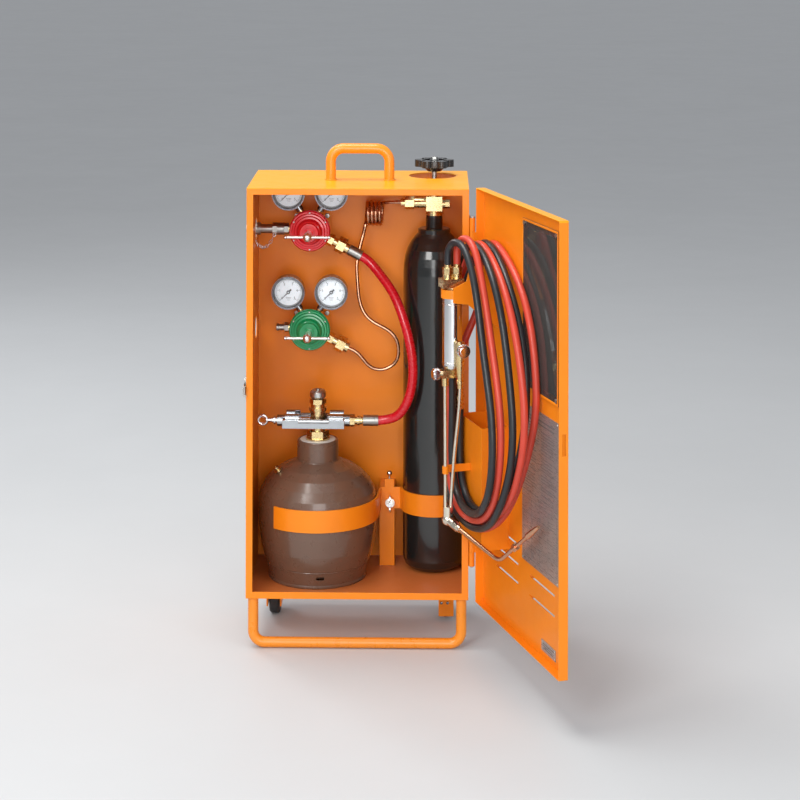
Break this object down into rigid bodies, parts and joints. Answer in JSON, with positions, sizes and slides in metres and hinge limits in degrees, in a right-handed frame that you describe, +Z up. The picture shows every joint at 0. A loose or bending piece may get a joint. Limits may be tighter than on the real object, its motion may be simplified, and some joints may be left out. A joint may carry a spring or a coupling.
{
  "type": "portable gas welding cabinet",
  "caption": "Wheeled steel cabinet holding two gas cylinders, regulators, gauges and pipework, with a hinged windowed door that carries a welding torch and its coiled twin hose.",
  "frame": {"origin": "on the ground under the centre of the cabinet footprint", "axes": "+Z up, the cabinet front with the door opening faces -Y, +X towards the hinge side"},
  "size_m": [0.5295, 0.5805, 0.8296],
  "materials": {
    "orange_paint": "gloss sprayed enamel",
    "zinc_steel": "zinc plated",
    "black_paint": "gloss paint",
    "brown_paint": "semi-gloss paint",
    "brass": "machined",
    "chrome": "plated",
    "red_enamel": "gloss enamel",
    "green_enamel": "gloss enamel",
    "dial_white": "printed, matt",
    "gauge_glass": "clear",
    "red_rubber": "smooth rubber",
    "bright_red_rubber": "glossy rubber",
    "copper": "drawn copper tube",
    "black_rubber": "smooth rubber",
    "black_plastic": "moulded",
    "window_acrylic": "clear acrylic sheet",
    "plate_aluminium": "brushed, printed",
    "nickel_brass": "nickel plated brass"
  },
  "bodies": {
    "cabinet": {"cabinet_shell": "orange_paint", "inner_brackets": "orange_paint", "carry_handle": "orange_paint", "front_foot": "orange_paint", "wheel_brackets": "orange_paint", "wheel_axle_bolts": "zinc_steel", "hinge_leaves_fixed": "orange_paint", "hinge_pins": "zinc_steel", "latch_plate": "zinc_steel", "oxygen_cylinder": "black_paint", "acetylene_cylinder": "brown_paint", "cylinder_valves": "brass", "valve_gland_nuts": "brass", "yoke_frame": "chrome", "supply_line_nuts": "brass", "regulator_bodies": "brass", "acetylene_bonnet": "red_enamel", "oxygen_bonnet": "green_enamel", "regulator_inlet_nuts": "brass", "gauge_cases": "chrome", "gauge_dials": "dial_white", "gauge_lenses": "gauge_glass", "regulator_outlets": "chrome", "supply_hose": "bright_red_rubber", "oxygen_pigtail": "copper", "cylinder_strap": "orange_paint", "strap_stud": "chrome"},
    "wheel_left": {"wheel_tyre_left": "black_rubber", "wheel_hub_left": "zinc_steel"},
    "wheel_right": {"wheel_tyre_right": "black_rubber", "wheel_hub_right": "zinc_steel"},
    "latch": {"latch_spring": "zinc_steel"},
    "oxygen_handwheel_body": {"oxygen_valve_spindle": "zinc_steel", "oxygen_handwheel": "black_plastic"},
    "acetylene_spindle_body": {"acetylene_valve_spindle": "zinc_steel"},
    "yoke_screw": {"yoke_clamp_screw": "chrome"},
    "acetylene_screw": {"acetylene_adjusting_screw": "chrome"},
    "oxygen_screw": {"oxygen_adjusting_screw": "chrome"},
    "needle_acetylene_low": {"acetylene_gauge_needle_low": "black_plastic"},
    "needle_acetylene_high": {"acetylene_gauge_needle_high": "black_plastic"},
    "needle_oxygen_low": {"oxygen_gauge_needle_low": "black_plastic"},
    "needle_oxygen_high": {"oxygen_gauge_needle_high": "black_plastic"},
    "wing_nut": {"strap_wing_nut": "chrome"},
    "door": {"door_panel": "orange_paint", "hinge_leaves_door": "orange_paint", "window_pane": "window_acrylic", "window_screws": "zinc_steel", "door_plates": "plate_aluminium", "accessory_box": "orange_paint", "torch_bracket": "orange_paint", "torch_valve_blocks": "brass", "torch_handle": "chrome", "torch_tubes": "nickel_brass", "torch_head": "nickel_brass", "torch_tip": "copper", "hose_end_fittings": "brass", "torch_hose_black": "black_rubber", "torch_hose_red": "red_rubber"},
    "torch_oxygen_knob_body": {"torch_oxygen_knob": "chrome"},
    "torch_fuel_knob_body": {"torch_fuel_knob": "chrome"}
  },
  "joints": [
    {"name": "door_hinge", "type": "hinge", "parent": "cabinet", "child": "door", "pos_m": [0.1905, -0.111, 0.425], "axis": [0, 0, 1], "range_deg": [-108.56, 61.44]},
    {"name": "wheel_left_spin", "type": "hinge", "parent": "cabinet", "child": "wheel_left", "pos_m": [-0.149, 0.073, 0.0375], "axis": [1, 0, 0], "continuous": true},
    {"name": "wheel_right_spin", "type": "hinge", "parent": "cabinet", "child": "wheel_right", "pos_m": [0.149, 0.073, 0.0375], "axis": [1, 0, 0], "continuous": true},
    {"name": "latch_lift", "type": "hinge", "parent": "cabinet", "child": "latch", "pos_m": [-0.1882, -0.1035, 0.433], "axis": [0, 0, -1], "range_deg": [0, 12]},
    {"name": "oxygen_handwheel_turn", "type": "hinge", "parent": "cabinet", "child": "oxygen_handwheel_body", "pos_m": [0.127, 0.059, 0.785], "axis": [0, 0, 1], "range_deg": [0, 720]},
    {"name": "acetylene_spindle_turn", "type": "hinge", "parent": "cabinet", "child": "acetylene_spindle_body", "pos_m": [-0.0724, 0.012, 0.405], "axis": [0, 0, 1], "range_deg": [0, 540]},
    {"name": "yoke_screw_turn", "type": "hinge", "parent": "cabinet", "child": "yoke_screw", "pos_m": [-0.1324, 0.012, 0.35055], "axis": [1, 0, 0], "range_deg": [-360, 0]},
    {"name": "acetylene_screw_turn", "type": "hinge", "parent": "cabinet", "child": "acetylene_screw", "pos_m": [-0.089, -0.025, 0.6715], "axis": [0, 1, 0], "range_deg": [0, 1080]},
    {"name": "oxygen_screw_turn", "type": "hinge", "parent": "cabinet", "child": "oxygen_screw", "pos_m": [-0.089, -0.025, 0.4995], "axis": [0, 1, 0], "range_deg": [0, 1080]},
    {"name": "wing_nut_turn", "type": "hinge", "parent": "cabinet", "child": "wing_nut", "pos_m": [0.0512, 0.05, 0.198], "axis": [0, -1, 0], "range_deg": [0, 720]},
    {"name": "torch_oxygen_knob_turn", "type": "hinge", "parent": "door", "child": "torch_oxygen_knob_body", "pos_m": [0.13507, -0.21453, 0.483], "axis": [-0.948, -0.3183, 0], "range_deg": [0, 540]},
    {"name": "torch_fuel_knob_turn", "type": "hinge", "parent": "door", "child": "torch_fuel_knob_body", "pos_m": [0.17307, -0.23974, 0.526], "axis": [0.3183, -0.948, 0], "range_deg": [0, 540]},
    {"name": "needle_acetylene_low_turn", "type": "hinge", "parent": "cabinet", "child": "needle_acetylene_low", "pos_m": [-0.1263, 0.044, 0.736], "axis": [0, 1, 0], "range_deg": [0, 270]},
    {"name": "needle_acetylene_high_turn", "type": "hinge", "parent": "cabinet", "child": "needle_acetylene_high", "pos_m": [-0.0517, 0.044, 0.736], "axis": [0, 1, 0], "range_deg": [0, 270]},
    {"name": "needle_oxygen_low_turn", "type": "hinge", "parent": "cabinet", "child": "needle_oxygen_low", "pos_m": [-0.1263, 0.044, 0.564], "axis": [0, 1, 0], "range_deg": [0, 270]},
    {"name": "needle_oxygen_high_turn", "type": "hinge", "parent": "cabinet", "child": "needle_oxygen_high", "pos_m": [-0.0517, 0.044, 0.564], "axis": [0, 1, 0], "range_deg": [0, 270]}
  ]
}
